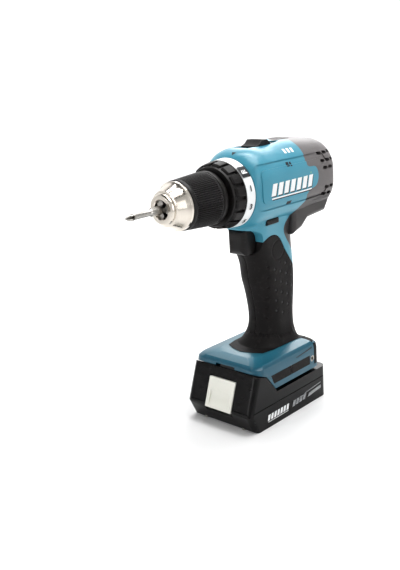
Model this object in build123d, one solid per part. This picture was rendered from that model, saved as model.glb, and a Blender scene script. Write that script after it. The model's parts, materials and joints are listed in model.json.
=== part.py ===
from build123d import *
import functools
import math
import os

os.makedirs("parts", exist_ok=True)

# A cordless drill-driver with a slide-on battery, standing on the battery.
# +X points forward along the bit, +Y to the tool's left, +Z up.
# The origin is the centre of the battery's underside.
# All sizes are in millimetres. Places on the head and neck are measured from the spindle axis.

# ---- driving dimensions: overall ----
GRIP_HEIGHT = 144.5  # from the top edge of the foot to the spindle axis
FOOT_TOP = 61.0  # top edge of the foot above the table
AXIS = FOOT_TOP + GRIP_HEIGHT  # height of the spindle axis
HEAD_HALF_WIDTH = 33.0
HEAD_FRONT = 30.6
SEAM = -37.0  # where the rear cover meets the housing
HEAD_REAR = -84.6
GRIP_HALF_WIDTH = 17.5
WALL = 2.6  # housing wall
SKIN = 1.6  # soft grip skin
GAP = 0.4  # clearance between pieces that slide or turn past each other
FIT = 0.04  # radial clearance of a shaft in its bearing

# ---- battery ----
PACK_HALF_WIDTH = 37.5
PACK_REAR = -53.0
PACK_FRONT = 60.8
PACK_SEAM = 20.0  # split between lower and upper case
PACK_SHELF = 30.0  # top of the case beside the deck
PACK_WALL = 1.9
DECK_TOP = 43.4  # top of the raised deck that slides into the foot
DECK_HALF_WIDTH = 31.4
DECK_WAIST = 27.2  # half width under the deck's overhang
DECK_LIP = 37.2  # underside of that overhang
CELL_RADIUS = 9.1
CELL_LENGTH = 65.0
CELL_COUNT = 5
LATCH_TRAVEL = 4.0
LATCH_HALF_WIDTH = 15.0
LATCH_LENGTH = 28.0

# ---- foot ----
FOOT_FRONT = 48.6
FOOT_REAR = -44.0
FOOT_SKIRT = 33.4  # bottom of the foot's sides
FOOT_CORNER = 9.0
HOOK_X = -31.0
HOOK_Z = 43.0
HOOK_RADIUS = 1.65  # bore of the belt-hook insert
HOOK_DEPTH = 5.0

# ---- gear train: two planetary stages, ring held, carrier out ----
MODULE = 0.8
SUN_TEETH = 12
PLANET_TEETH = 15
RING_TEETH = SUN_TEETH + 2 * PLANET_TEETH
ORBIT = MODULE * (SUN_TEETH + PLANET_TEETH) / 2
RING_OUTER = 20.5
CASE_INNER = RING_OUTER + GAP
CASE_OUTER = 25.0
SHIFT_TRAVEL = 7.0
SHAFT_RADIUS = 2.5
SPINDLE_RADIUS = 6.0
BEARING_RADIUS = 9.5
NECK_RADIUS = 12.6
STAGE_1 = -9.0  # rear face of the first planets
STAGE_2 = 7.5
PLANET_LENGTH = 7.0

# ---- motor ----
MOTOR_RADIUS = 18.5
MOTOR_FRONT = -14.0
MOTOR_REAR = -66.0
MAGNET_INNER = 12.4
ARMATURE_RADIUS = 11.6
FAN_RADIUS = 20.0

# ---- clutch and torque ring ----
RING_REAR = 40.8
RING_FRONT = 53.1
RING_PADS = 16
BAND_RADIUS = 29.5
TUBE_INNER = 23.0  # inside of the torque ring's tube
NUT_RADIUS = 20.0
SPRING_RADIUS = 16.6
SPRING_WIRE = 1.1
NUT_REAR = 42.0

# ---- chuck ----
SLEEVE_REAR = 55.9
SLEEVE_FRONT = 94.5
SLEEVE_RADIUS = 22.5
SLEEVE_TIP_RADIUS = 20.3
NOSE_FRONT = 111.5
NOSE_RADIUS = 11.6
BORE_RADIUS = 7.5
JAW_ANGLE = 15.0
JAW_RADIUS = 3.4
JAW_TIP = 109.0
JAW_GRIP = 3.3  # distance of the gripping faces from the axis with the bit held
BIT_ACROSS = 6.35
BIT_FRONT = 148.0
BIT_REAR = 92.0

# ---- controls ----
TRIGGER_HALF_WIDTH = 9.6
LEVER_HALF_WIDTH = 8.6

CENTRED = (Align.CENTER, Align.CENTER, Align.MIN)


def save(node, *solids):
    """Write one node: one solid, or a group of separate solids."""
    pieces = [s for shape in solids for s in shape.solids()]
    export_step(pieces[0] if len(pieces) == 1 else Compound(children=pieces), f"parts/{node}.step")


def box(x0, x1, y0, y1, z0, z1):
    """A box between two corners."""
    centre = Pos((x0 + x1) / 2, (y0 + y1) / 2, (z0 + z1) / 2)
    return centre * Box(abs(x1 - x0), abs(y1 - y0), abs(z1 - z0))


def rod_x(x0, x1, radius, y=0.0, z=0.0):
    """A round bar along X; y and z are measured from the spindle axis."""
    return Pos(x0, y, AXIS + z) * Rot(0, 90, 0) * Cylinder(radius, x1 - x0, align=CENTRED)


def ring_x(x0, x1, outer, inner):
    return rod_x(x0, x1, outer) - rod_x(x0 - 1, x1 + 1, inner)


def rod_y(y0, y1, radius, x, z):
    """A round bar along Y."""
    return Pos(x, y1, z) * Rot(90, 0, 0) * Cylinder(radius, y1 - y0, align=CENTRED)


def rod_z(z0, z1, radius, x, y):
    return Pos(x, y, z0) * Cylinder(radius, z1 - z0, align=CENTRED)


def turned(points):
    """A solid turned about the spindle axis from an outline of (x, radius) points."""
    return Pos(0, 0, AXIS) * revolve(make_face(Polyline(*points, close=True)), Axis.X, 360)


def side_plate(outline, y0, y1):
    """An XZ outline (a face drawn in X and Z) carried from y0 to y1."""
    return extrude(Plane(origin=(0, y1, 0), x_dir=(1, 0, 0), z_dir=(0, -1, 0)) * outline, y1 - y0)


def polygon(*points):
    return make_face(Polyline(*points, close=True))


def about_axis(shape, degrees):
    """Turn a shape about the spindle axis."""
    return Pos(0, 0, AXIS) * Rot(degrees, 0, 0) * Pos(0, 0, -AXIS) * shape


def three(shape):
    """The shape and its copies a third and two thirds of a turn round the spindle axis."""
    return [about_axis(shape, angle) for angle in (0, 120, 240)]


def left_half(shape):
    return shape & box(-200, 200, 0, 100, -10, 400)


def right_half(shape):
    return shape & box(-200, 200, -100, 0, -10, 400)


# ---- housing: outer forms ----


@functools.cache
def head_form(inset):
    """The barrel of the head: rounded cross-sections lofted from the torque ring to the rear."""
    half = HEAD_HALF_WIDTH
    sections = (
        (HEAD_FRONT, half - 3.1, half - 3.1, half - 3.1),
        (22.0, half - 1.0, half + 1.6, half - 0.6),
        (12.0, half - 0.2, half + 2.8, half),
        (-8.0, half, half + 2.2, half),
        (-45.0, half, half + 4.4, half),
        (-64.0, half - 0.5, half + 2.4, half - 0.5),
        (-78.0, half - 1.6, half, half - 1.6),
        (HEAD_REAR, half - 6.5, half - 5.5, half - 6.5),
    )
    faces = []
    for x, side, up, down in sections:
        middle = Plane(origin=(x, 0, AXIS + (up - down) / 2), x_dir=(0, 1, 0), z_dir=(1, 0, 0))
        corner = side - inset - (0.3 if x == HEAD_FRONT else 5.0)
        faces.append(middle * RectangleRounded(2 * (side - inset), up + down - 2 * inset, corner))
    return loft(faces)


def grip_form():
    """The grip and neck: rounded level sections lofted from the boot up into the head."""
    neck = AXIS - HEAD_HALF_WIDTH
    half = GRIP_HALF_WIDTH
    sections = (
        (0.0, 18.0, -44.5, half + 8.0),
        (0.04, 12.5, -42.5, half + 4.0),
        (0.09, 7.2, -41.4, half + 1.2),
        (0.16, 3.8, -41.0, half - 0.3),
        (0.25, 3.0, -41.2, half - 0.5),
        (0.38, 5.0, -42.4, half - 0.2),
        (0.50, 8.2, -43.4, half),
        (0.63, 11.2, -43.2, half),
        (0.74, 14.0, -42.0, half + 0.2),
        (0.83, 19.5, -40.6, half + 0.8),
        (0.92, 24.0, -40.4, half + 2.2),
        (1.02, 27.0, -43.0, half + 4.6),
        (1.12, 27.5, -50.0, half + 6.6),
    )
    low = FOOT_TOP - 2.6
    faces = []
    for share, front, rear, side in sections:
        middle = Pos((front + rear) / 2, 0, low + share * (neck - low))
        faces.append(middle * RectangleRounded(front - rear, 2 * side, side - 1.0))
    return loft(faces)


def wing_form():
    """The square-shouldered lower rear of the head."""
    low = AXIS - HEAD_HALF_WIDTH
    outline = polygon(
        (-24, low + 18),
        (-82.5, low + 18),
        (-80.5, low + 12),
        (-73, low + 1.0),
        (-46, low - 1.0),
        (-37, low - 8.0),
        (-24, low - 12.0),
    )
    half = HEAD_HALF_WIDTH - 6.5
    form = side_plate(outline, -half, half)
    lower = form.edges().filter_by(lambda e: abs(abs(e.center().Y) - half) < 0.01)
    lower = lower.filter_by(lambda e: e.center().Z < low + 8)
    return fillet(lower, 4.0)


def foot_form():
    """The foot: upright sides, a rounded shoulder and a roof that rises to the boot."""
    front, rear = FOOT_FRONT, FOOT_REAR
    side = PACK_HALF_WIDTH
    levels = ((FOOT_TOP - 9.0, 0.0), (FOOT_TOP - 5.0, 0.6), (FOOT_TOP - 2.4, 3.4), (FOOT_TOP - 0.4, 14.0))
    middle = (front + rear) / 2
    faces = [
        Pos(middle, 0, z)
        * RectangleRounded(front - rear - 2 * pull, 2 * (side - pull), FOOT_CORNER)
        for z, pull in levels
    ]
    bottom = Pos(middle, 0, FOOT_SKIRT) * RectangleRounded(front - rear, 2 * side, FOOT_CORNER)
    return extrude(bottom, FOOT_TOP - 9.0 - FOOT_SKIRT) + loft(faces, ruled=True)


def recess_outline():
    """The scooped front of the neck that clears the finger."""
    top = AXIS - HEAD_HALF_WIDTH - 0.6
    curve = Spline(
        (36, top),
        (19, top - 0.8),
        (12.5, top - 4.5),
        (10.5, top - 12),
        (12.5, top - 20),
        (19, top - 24.6),
        (36, top - 26.5),
    )
    return make_face([curve, Polyline((36, top - 26.5), (44, top - 26.5), (44, top), (36, top))])


def lip_outline():
    """The space under the foot's front that the battery's nose fills."""
    return polygon(
        (70, FOOT_SKIRT - 14),
        (70, FOOT_TOP - 7.6),
        (FOOT_FRONT + 0.4, FOOT_TOP - 8.0),
        (37, FOOT_TOP - 12.5),
        (24, FOOT_SKIRT - 1.0),
        (24, FOOT_SKIRT - 14),
    )


def rear_outline():
    """The rear cover's side outline: a rounded tab of the housing runs back into it."""
    tab = Spline(
        (SEAM, AXIS + 15.5),
        (SEAM - 3, AXIS + 13.6),
        (SEAM - 12, AXIS + 12.4),
        (SEAM - 17, AXIS + 4.5),
        (SEAM - 13, AXIS - 4.5),
        (SEAM - 3, AXIS - 7.0),
        (SEAM, AXIS - 9.5),
    )
    strip = Spline(
        (SEAM, AXIS - 14.5),
        (SEAM + 7, AXIS - 20),
        (SEAM + 15, AXIS - 28),
        (SEAM + 20.5, AXIS - 38),
        (SEAM + 17, AXIS - 46),
        (SEAM + 9, AXIS - 56),
        (SEAM + 1, AXIS - 65),
        (SEAM - 13, AXIS - 72),
    )
    return make_face(
        [
            Line((SEAM, AXIS + 60), (SEAM, AXIS + 15.5)),
            tab,
            Line((SEAM, AXIS - 9.5), (SEAM, AXIS - 14.5)),
            strip,
            Polyline((SEAM - 13, AXIS - 72), (-120, AXIS - 72), (-120, AXIS + 60), (SEAM, AXIS + 60)),
        ]
    )


def rubber_outline():
    """The soft skin's side outline: an arch on the neck, the whole grip, and the boot."""
    arch = Spline(
        (30, AXIS - 60.5),
        (20, AXIS - 56.5),
        (12, AXIS - 47),
        (2, AXIS - 41.5),
        (-7, AXIS - 42.5),
        (-14, AXIS - 48),
        (-20, AXIS - 57),
        (-28, AXIS - 68),
        (-40, AXIS - 80),
        (-60, AXIS - 88),
    )
    bottom = FOOT_TOP - 3.0
    return make_face([arch, Polyline((-60, AXIS - 88), (-60, bottom), (30, bottom), (30, AXIS - 60.5))])


def boot_wrap():
    """Where the soft skin runs down over the rear of the foot."""
    outline = polygon(
        (-33.5, 80), (-33.5, HOOK_Z - 6.5), (-60, HOOK_Z - 6.5), (-60, 80)
    )
    return side_plate(outline, -60, 60)


def battery_passage(grow):
    """The tee-shaped way through the foot that the battery's deck slides along."""
    waist = DECK_WAIST + grow
    deck = DECK_HALF_WIDTH + grow
    low = DECK_LIP - grow
    rear = FOOT_REAR + WALL
    return box(rear, 70, -waist, waist, FOOT_SKIRT - 3, low + 1) + box(
        rear, 70, -deck, deck, low, DECK_TOP + grow
    )


def lever_recess():
    """The speed lever's shallow bed in the top of the head, and the slot for its post."""
    bed = box(-28, 15, -LEVER_HALF_WIDTH - 0.6, LEVER_HALF_WIDTH + 0.6, AXIS + 33.3, AXIS + 50)
    return bed + box(-9, 7.5, -3.6, 3.6, AXIS + 20, AXIS + 50)


def thumb_scoop():
    """A shallow dish behind the speed lever."""
    return Pos(-37, 0, AXIS + HEAD_HALF_WIDTH + 25.5) * Sphere(24)


def panel_tool(inset, deep):
    """The outline of the raised side panel, or of its inner pad, as a plate right through the head."""
    front = 29.0 - inset
    rear = SEAM - 30.0
    outline = RectangleRounded(front - rear, 39 - 2 * inset, 7.0 - inset / 3)
    face = Pos((front + rear) / 2, AXIS + 4.2) * outline
    return side_plate(face, -deep, deep)


def vent_slots():
    """Cooling slots in the rear cover: three rows above and two below, on both sides."""
    slots = []
    for z, places in (
        (22.0, (-61, -69, -77)),
        (15.4, (-62, -70, -78)),
        (9.0, (-65, -73)),
        (-8.6, (-67, -75)),
        (-14.6, (-64, -72)),
    ):
        for x in places:
            outline = Pos(x, AXIS + z) * Rot(0, 0, 6) * SlotOverall(6.6, 2.9)
            slots.append(side_plate(outline, -60, 60))
    return slots


def case_screw_places():
    """Where the screws that join the two housing shells go: (x, z)."""
    return (
        (-11.5, AXIS - 30),
        (-18, AXIS - 80),
        (-20, AXIS - 114),
        (14, FOOT_TOP - 6.4),
        (-37, FOOT_TOP - 4.0),
    )


def cover_screw_places():
    """Where the rear cover's long screws go: (y, height above the axis)."""
    return tuple((sy * 17.5, sz * 17.5) for sy in (-1, 1) for sz in (-1, 1))


HEAD_BORE = 28.8  # inside of the head's barrel
SCREW_RADIUS = 1.5
SCREW_HEAD = 3.0
BOSS_RADIUS = 3.6


def screw_y(x, z, depth):
    """A case screw, entered from the right, with its head sunk below the surface."""
    screw = rod_y(-depth, 7.0, SCREW_RADIUS, x, z) + rod_y(-depth - 2.2, -depth, SCREW_HEAD, x, z)
    cross = box(x - 1.8, x + 1.8, -depth - 3, -depth - 1.0, z - 0.4, z + 0.4)
    return screw - cross - about_y(cross, x, z)


def about_y(shape, x, z):
    """Turn a shape a quarter turn about a line along Y."""
    return Pos(x, 0, z) * Rot(0, 90, 0) * Pos(-x, 0, -z) * shape


def screw_depth(z):
    """How far out the screw's head seats: near the grip's skin, or in the wider foot."""
    return 12.0 if z < AXIS - 50 else 15.0


def upright(front, rear, half, corner, z0, z1):
    """An upright block with rounded corners."""
    plan = Pos((front + rear) / 2, 0, z0) * RectangleRounded(front - rear, 2 * half, corner)
    return extrude(plan, z1 - z0)


def inside():
    """The housing's hollow: motor barrel, wing, grip and foot."""
    low = AXIS - HEAD_HALF_WIDTH
    barrel = rod_x(-80.4, HEAD_FRONT - 3.2, HEAD_BORE) + rod_x(0, HEAD_FRONT + 2, CASE_OUTER + GAP)
    wing = box(-69, -26, -21, 21, low + 3.4, low + 14)
    grip = upright(-2.4, -36.2, 11.8, 5.0, FOOT_TOP - 12, low + 9)
    foot = upright(22, FOOT_REAR + 3.6, PACK_HALF_WIDTH - 4.0, 5.0, DECK_TOP + GAP + WALL, FOOT_TOP - 6)
    return barrel, wing, grip, foot


def make_housing():
    """Housing shells, rear cover, soft skin and foot strips."""
    recess = side_plate(recess_outline(), -40, 40)
    skin_zone = side_plate(rubber_outline(), -60, 60)
    cover_zone = side_plate(rear_outline(), -60, 60)
    head = head_form(0)
    grip = grip_form()
    foot = foot_form() - side_plate(lip_outline(), -60, 60)
    core = upright(0.6, -38.8, GRIP_HALF_WIDTH - 2.9, 12.0, FOOT_TOP - 6, AXIS - 40)

    # the soft skin: the outside of the grip, and a wrap round the rear of the foot
    foot_core = upright(60, FOOT_REAR + SKIN, PACK_HALF_WIDTH - SKIN, FOOT_CORNER - SKIN, 20, FOOT_TOP - 3.6)
    wrap = boot_wrap()
    skin = ((grip & skin_zone) - core - recess - foot) + ((foot & wrap) - foot_core)
    body = head + (grip - skin_zone) + wing_form() + ((foot - wrap) + (foot & foot_core)) + core
    body -= recess
    for hollow in inside():
        body -= hollow

    # a raised pad on each side, left standing by a shallow margin round it
    margin = (panel_tool(0, 60) - panel_tool(5.2, 61)) - head_form(0.8)
    body -= margin & box(-70, 40, -60, 60, AXIS - 25, AXIS + 28)
    body -= lever_recess()
    body -= thumb_scoop() & box(-60, -26, -20, 20, AXIS, AXIS + 60)
    body -= battery_passage(GAP)
    body -= box(-38, -13, -21, 21, DECK_TOP - 1, FOOT_TOP - 8)  # opening for the terminal block
    body -= box(37.5, 60, -11, 11, FOOT_TOP - 14, FOOT_TOP - 6.2)  # catch for the battery's hook
    pocket = TRIGGER_HALF_WIDTH + 0.5
    trigger_way = box(-12, 40, -pocket, pocket, AXIS - 56.5, AXIS - 33.8)
    body -= trigger_way
    skin -= trigger_way
    body -= box(-6, 10.5, -40, 40, AXIS - 31.0, AXIS - 25.2)  # reversing lever's window
    for x, z in case_screw_places():
        column = rod_y(-HEAD_HALF_WIDTH, HEAD_HALF_WIDTH, BOSS_RADIUS, x, z)
        half = 14.0 if z < AXIS - 50 else 18.0
        column &= box(-60, 60, -half, half, 0, 300)
        body += column
        skin -= column
    for y, z in cover_screw_places():
        reach = math.copysign(29.5, y)
        web = box(-74, SEAM + 9, y, reach, AXIS + z - 1.2, AXIS + z + 1.2)
        body += rod_x(-81, SEAM + 9, BOSS_RADIUS, y, z) + web
        body -= rod_x(-100, SEAM + 8, SCREW_RADIUS, y, z) + rod_x(-100, -78, SCREW_HEAD + 0.2, y, z)
    strips = []
    for side in (-1, 1):
        y0, y1 = sorted((side * (PACK_HALF_WIDTH - 1.8), side * (PACK_HALF_WIDTH + 2)))
        outline = polygon((27.0, 38.6), (30.6, 47.2), (-27, 47.2), (-27, 38.6))
        bed = side_plate(outline, y0, y1)
        strips.append(foot & bed)
        body -= bed
        y0, y1 = sorted((side * (PACK_HALF_WIDTH - 0.3 - HOOK_DEPTH), side * 60))
        bore = rod_y(y0, y1, 3.0, HOOK_X, HOOK_Z)
        body -= bore
        skin -= bore
    for x, z in case_screw_places():
        depth = screw_depth(z)
        sink = rod_y(-60, -depth, SCREW_HEAD + 0.2, x, z) + rod_y(-depth - 1, 7.0, SCREW_RADIUS, x, z)
        body -= sink
        skin -= sink
    cover = body & cover_zone
    for slot in vent_slots():
        cover -= slot
    return body - cover_zone, cover, skin, strips


# ---- gear train ----


def toothed(teeth, reach, depth, shares):
    """A gear outline, one tooth along the first axis; shares are its widths at tip, pitch and root."""
    pitch_radius = MODULE * teeth / 2
    radii = (pitch_radius - depth, pitch_radius, pitch_radius + reach)
    step = 2 * math.pi / teeth
    points = []
    for tooth in range(teeth):
        rising = [(radius, -share / 2) for radius, share in zip(radii, reversed(shares))]
        falling = [(radius, share / 2) for radius, share in zip(reversed(radii), shares)]
        for radius, share in rising + falling:
            angle = (tooth + share) * step
            points.append((radius * math.cos(angle), radius * math.sin(angle)))
    return polygon(*points)


def across(x):
    """The plane square to the spindle axis at x, with its first axis along +Y."""
    return Plane(origin=(x, 0, AXIS), x_dir=(0, 1, 0), z_dir=(1, 0, 0))


def outer_gear(teeth, x0, x1, bore):
    outline = toothed(teeth, 0.75 * MODULE, 1.05 * MODULE, (0.24, 0.42, 0.60))
    gear = extrude(across(x0) * outline, x1 - x0)
    return gear - rod_x(x0 - 1, x1 + 1, bore) if bore else gear


def ring_gear(x0, x1):
    space = toothed(RING_TEETH, 1.05 * MODULE, 0.75 * MODULE, (0.40, 0.58, 0.78))
    return rod_x(x0, x1, RING_OUTER) - extrude(across(x0 - 1) * space, x1 - x0 + 2)


PIN_RADIUS = 1.8
CARRIER_RADIUS = 15.5
CARRIER_1 = STAGE_1 + PLANET_LENGTH + 0.6  # rear face of the first carrier's disc
CARRIER_1_FRONT = CARRIER_1 + 3.0
CARRIER_2 = STAGE_2 + PLANET_LENGTH + 0.7
CARRIER_2_FRONT = CARRIER_2 + 3.2
SHIFT_REAR = STAGE_1 - 2.0
SHIFT_FRONT = STAGE_1 + PLANET_LENGTH + 1.0
CLUTCH_GEAR_FRONT = CARRIER_2 + 0.8
CASE_FRONT = CARRIER_2_FRONT + 4.6
CLUTCH_PIN_ORBIT = 18.3
CLUTCH_PIN_RADIUS = 2.1
BEARING_PLACES = ((CASE_FRONT + 1, 6.0), (43.0, 6.0))
MOTOR_BEARINGS = ((MOTOR_FRONT - 4, 4.0), (MOTOR_REAR - 4, 4.0))


def planets(x):
    return three(Pos(0, ORBIT, 0) * outer_gear(PLANET_TEETH, x, x + PLANET_LENGTH, PIN_RADIUS + 0.07))


def carrier(x0, x1, rear):
    """A carrier disc with three pins that reach back through its planets."""
    pin = rod_x(rear, x0, PIN_RADIUS, ORBIT)
    return rod_x(x0, x1, CARRIER_RADIUS) + three(pin)


def make_gears():
    save("motor_pinion", outer_gear(SUN_TEETH, SHIFT_REAR + 0.5, CARRIER_1 - 0.2, SHAFT_RADIUS))
    for number, planet in enumerate(planets(STAGE_1), 1):
        save(f"first_planet_{number}", planet)
    for number, planet in enumerate(planets(STAGE_2), 1):
        save(f"second_planet_{number}", planet)
    sun = outer_gear(SUN_TEETH, CARRIER_1_FRONT, CARRIER_2 - 0.3, 0)
    save("first_carrier", carrier(CARRIER_1, CARRIER_1_FRONT, STAGE_1 - 0.5) + sun)
    save("output_carrier", carrier(CARRIER_2, CARRIER_2_FRONT, STAGE_2 - 0.4))
    groove = ring_x(YOKE_X - 0.2, YOKE_X + 3.2, RING_OUTER + 1, RING_OUTER - 0.9)
    save("shift_ring_gear", ring_gear(SHIFT_REAR, SHIFT_FRONT) - groove)
    save("clutch_ring_gear", ring_gear(STAGE_2 - 0.6, CLUTCH_GEAR_FRONT))


YOKE_X = -7.5


def make_gearbox():
    front = ring_x(CASE_FRONT - 3.5, CASE_FRONT, CASE_OUTER, BEARING_RADIUS)
    tube = ring_x(-13.6, CASE_FRONT - 3.5, CASE_OUTER, CASE_INNER)
    rear = ring_x(-13.6, -11.8, CASE_OUTER, 8.0)
    neck = ring_x(CASE_FRONT, RING_FRONT - 2.0, NECK_RADIUS, BEARING_RADIUS)
    case = tube + front + rear + neck
    for number in range(6):
        hole = rod_x(0, 40, CLUTCH_PIN_RADIUS + 0.1, CLUTCH_PIN_ORBIT)
        case -= about_axis(hole & box(CASE_FRONT - 5, CASE_FRONT + 1, 0, 40, 0, 400), 60 * number + 30)
    slot_end = YOKE_X + 3 + SHIFT_TRAVEL + 0.8
    save("gearbox_case", case - box(YOKE_X - 0.8, slot_end, -3.4, 3.4, AXIS + 15, AXIS + 40))
    pin = rod_x(CLUTCH_GEAR_FRONT + 0.2, CASE_FRONT + 2.0, CLUTCH_PIN_RADIUS, CLUTCH_PIN_ORBIT)
    save("clutch_pins", *[about_axis(pin, 60 * number + 30) for number in range(6)])
    washer = CASE_FRONT + 2.1
    save("clutch_washer", ring_x(washer, washer + 1.2, 20.2, NECK_RADIUS + 0.3))
    start, end = washer + 1.3, NUT_REAR - 0.1
    save("clutch_spring", coil(start, end, SPRING_RADIUS, SPRING_WIRE, 5.0))
    spindle_bearings = [ring_x(x, x + long, BEARING_RADIUS, SPINDLE_RADIUS) for x, long in BEARING_PLACES]
    motor_bearings = [ring_x(x, x + long, 6.0, SHAFT_RADIUS + FIT) for x, long in MOTOR_BEARINGS]
    save("bearings", *spindle_bearings, *motor_bearings)


def coil(x0, x1, radius, wire, turns):
    """A compression spring about the spindle axis."""
    height = x1 - x0 - 2 * wire
    path = Helix(pitch=height / turns, height=height, radius=radius)
    start = path @ 0
    section = Plane(origin=start, z_dir=path % 0) * Circle(wire)
    return Pos(x0 + wire, 0, AXIS) * Rot(0, 90, 0) * sweep(section, path=path)


def make_clutch():
    """Torque ring, its white band, and the nut that it screws along the gearbox neck."""
    tube = turned(
        [
            (HEAD_FRONT + 0.8, 21.0),
            (HEAD_FRONT + 0.8, BAND_RADIUS - 4.3),
            (RING_REAR + 0.1, BAND_RADIUS - 4.3),
            (RING_REAR + 0.1, 28.7),
            (RING_REAR + 1.4, 28.7),
            (RING_REAR + 1.6, 26.6),
            (RING_FRONT - 2.4, 25.6),
            (RING_FRONT, 24.6),
            (RING_FRONT, NECK_RADIUS + 0.6),
            (RING_FRONT - 4.4, NECK_RADIUS + 0.6),
            (RING_FRONT - 5.4, 21.0),
        ]
    )
    pad = turned(
        [
            (RING_REAR + 1.5, 25.0),
            (RING_REAR + 1.5, 28.6),
            (RING_FRONT - 3.2, 27.4),
            (RING_FRONT - 1.9, 26.2),
            (RING_FRONT - 1.9, 25.0),
        ]
    )
    half = math.radians(360 / RING_PADS * 0.5 * 0.74)
    reach, rise = 60 * math.cos(half), 60 * math.sin(half)
    wedge = polygon((0, 0), (reach, -rise), (reach, rise))
    pad = pad & extrude(across(RING_REAR - 5) * wedge, 40)
    for number in range(RING_PADS):
        tube += about_axis(pad, 360 / RING_PADS * (number + 0.5))
    key = box(31, RING_FRONT - 5.4, 19, TUBE_INNER, AXIS - 3.2, AXIS + 3.2)
    for slot in three(key):
        tube -= slot
    save("torque_ring", tube)
    band = turned(
        [
            (HEAD_FRONT + 0.35, BAND_RADIUS - 4.3),
            (HEAD_FRONT + 0.35, BAND_RADIUS - 0.3),
            (HEAD_FRONT + 0.7, BAND_RADIUS),
            (RING_REAR, BAND_RADIUS - 0.7),
            (RING_REAR, BAND_RADIUS - 4.3),
        ]
    )
    save("torque_scale_band", band)
    nut = ring_x(NUT_REAR, NUT_REAR + 4.5, NUT_RADIUS, NECK_RADIUS + 0.3)
    lug = box(NUT_REAR, NUT_REAR + 4.5, 18, TUBE_INNER - 0.5, AXIS - 2.8, AXIS + 2.8)
    save("clutch_nut", nut + three(lug))


# ---- motor ----


def make_motor():
    can = ring_x(MOTOR_REAR, MOTOR_FRONT, MOTOR_RADIUS, MOTOR_RADIUS - 1.7)
    save("motor_can", can + ring_x(MOTOR_FRONT - 1.6, MOTOR_FRONT, MOTOR_RADIUS, 6.0))
    arc = ring_x(-60, -22, MOTOR_RADIUS - 1.7, MAGNET_INNER)
    opening = polygon((0, 0), (40, -30), (40, 30))
    magnet = arc & extrude(across(-62) * opening, 42)
    save("motor_magnets", magnet, about_axis(magnet, 180))
    cap = ring_x(MOTOR_REAR - 4, MOTOR_REAR, MOTOR_RADIUS, 6.0)
    for angle in (45, 135, 225, 315):
        cap -= about_axis(rod_x(-90, 0, 2.4, 12.0), angle)
    save("motor_end_cap", cap)
    brush = box(-65.6, -61.0, 6.6, 12.2, AXIS - 2.4, AXIS + 2.4)
    save("brushes", brush, about_axis(brush, 180))
    save("commutator", ring_x(-65.8, -59.2, 6.5, SHAFT_RADIUS))
    stack = ring_x(-55, -26, ARMATURE_RADIUS, SHAFT_RADIUS)
    for number in range(5):
        stack -= about_axis(box(-60, -20, 6.5, 13, AXIS - 0.9, AXIS + 0.9), 72 * number)
        stack -= about_axis(box(-60, -20, 6.5, 9.5, AXIS - 3.0, AXIS + 3.0), 72 * number)
    ends = ring_x(-58.6, -55, 9.8, SHAFT_RADIUS) + ring_x(-26, -22.5, 9.8, SHAFT_RADIUS)
    save("armature", stack + ends)
    save("motor_shaft", rod_x(-79.6, CARRIER_1 - 0.2, SHAFT_RADIUS))
    fan = ring_x(-79.0, -77.6, FAN_RADIUS, SHAFT_RADIUS) + ring_x(-79, -72.6, 5.0, SHAFT_RADIUS)
    for number in range(12):
        fan += about_axis(box(-78, -72.6, 7.0, FAN_RADIUS - 0.4, AXIS - 0.6, AXIS + 0.6), 30 * number)
    save("motor_fan", fan)


# ---- spindle and chuck ----


def jaw_line_radius(x):
    """Distance of a jaw's centre line from the axis at x."""
    return JAW_GRIP + 1.9 + (JAW_TIP - x) * math.tan(math.radians(JAW_ANGLE))


def jaw_bar(x0, x1, radius):
    """An inclined round bar along a jaw's centre line, in the +Y half."""
    start = Pos(x0, jaw_line_radius(x0), AXIS)
    length = (x1 - x0) / math.cos(math.radians(JAW_ANGLE))
    return start * Rot(0, 0, -JAW_ANGLE) * Rot(0, 90, 0) * Cylinder(radius, length, align=CENTRED)


NUT_X = 76.0
NUT_LONG = 8.0
SLEEVE_BORE = 19.2


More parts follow.
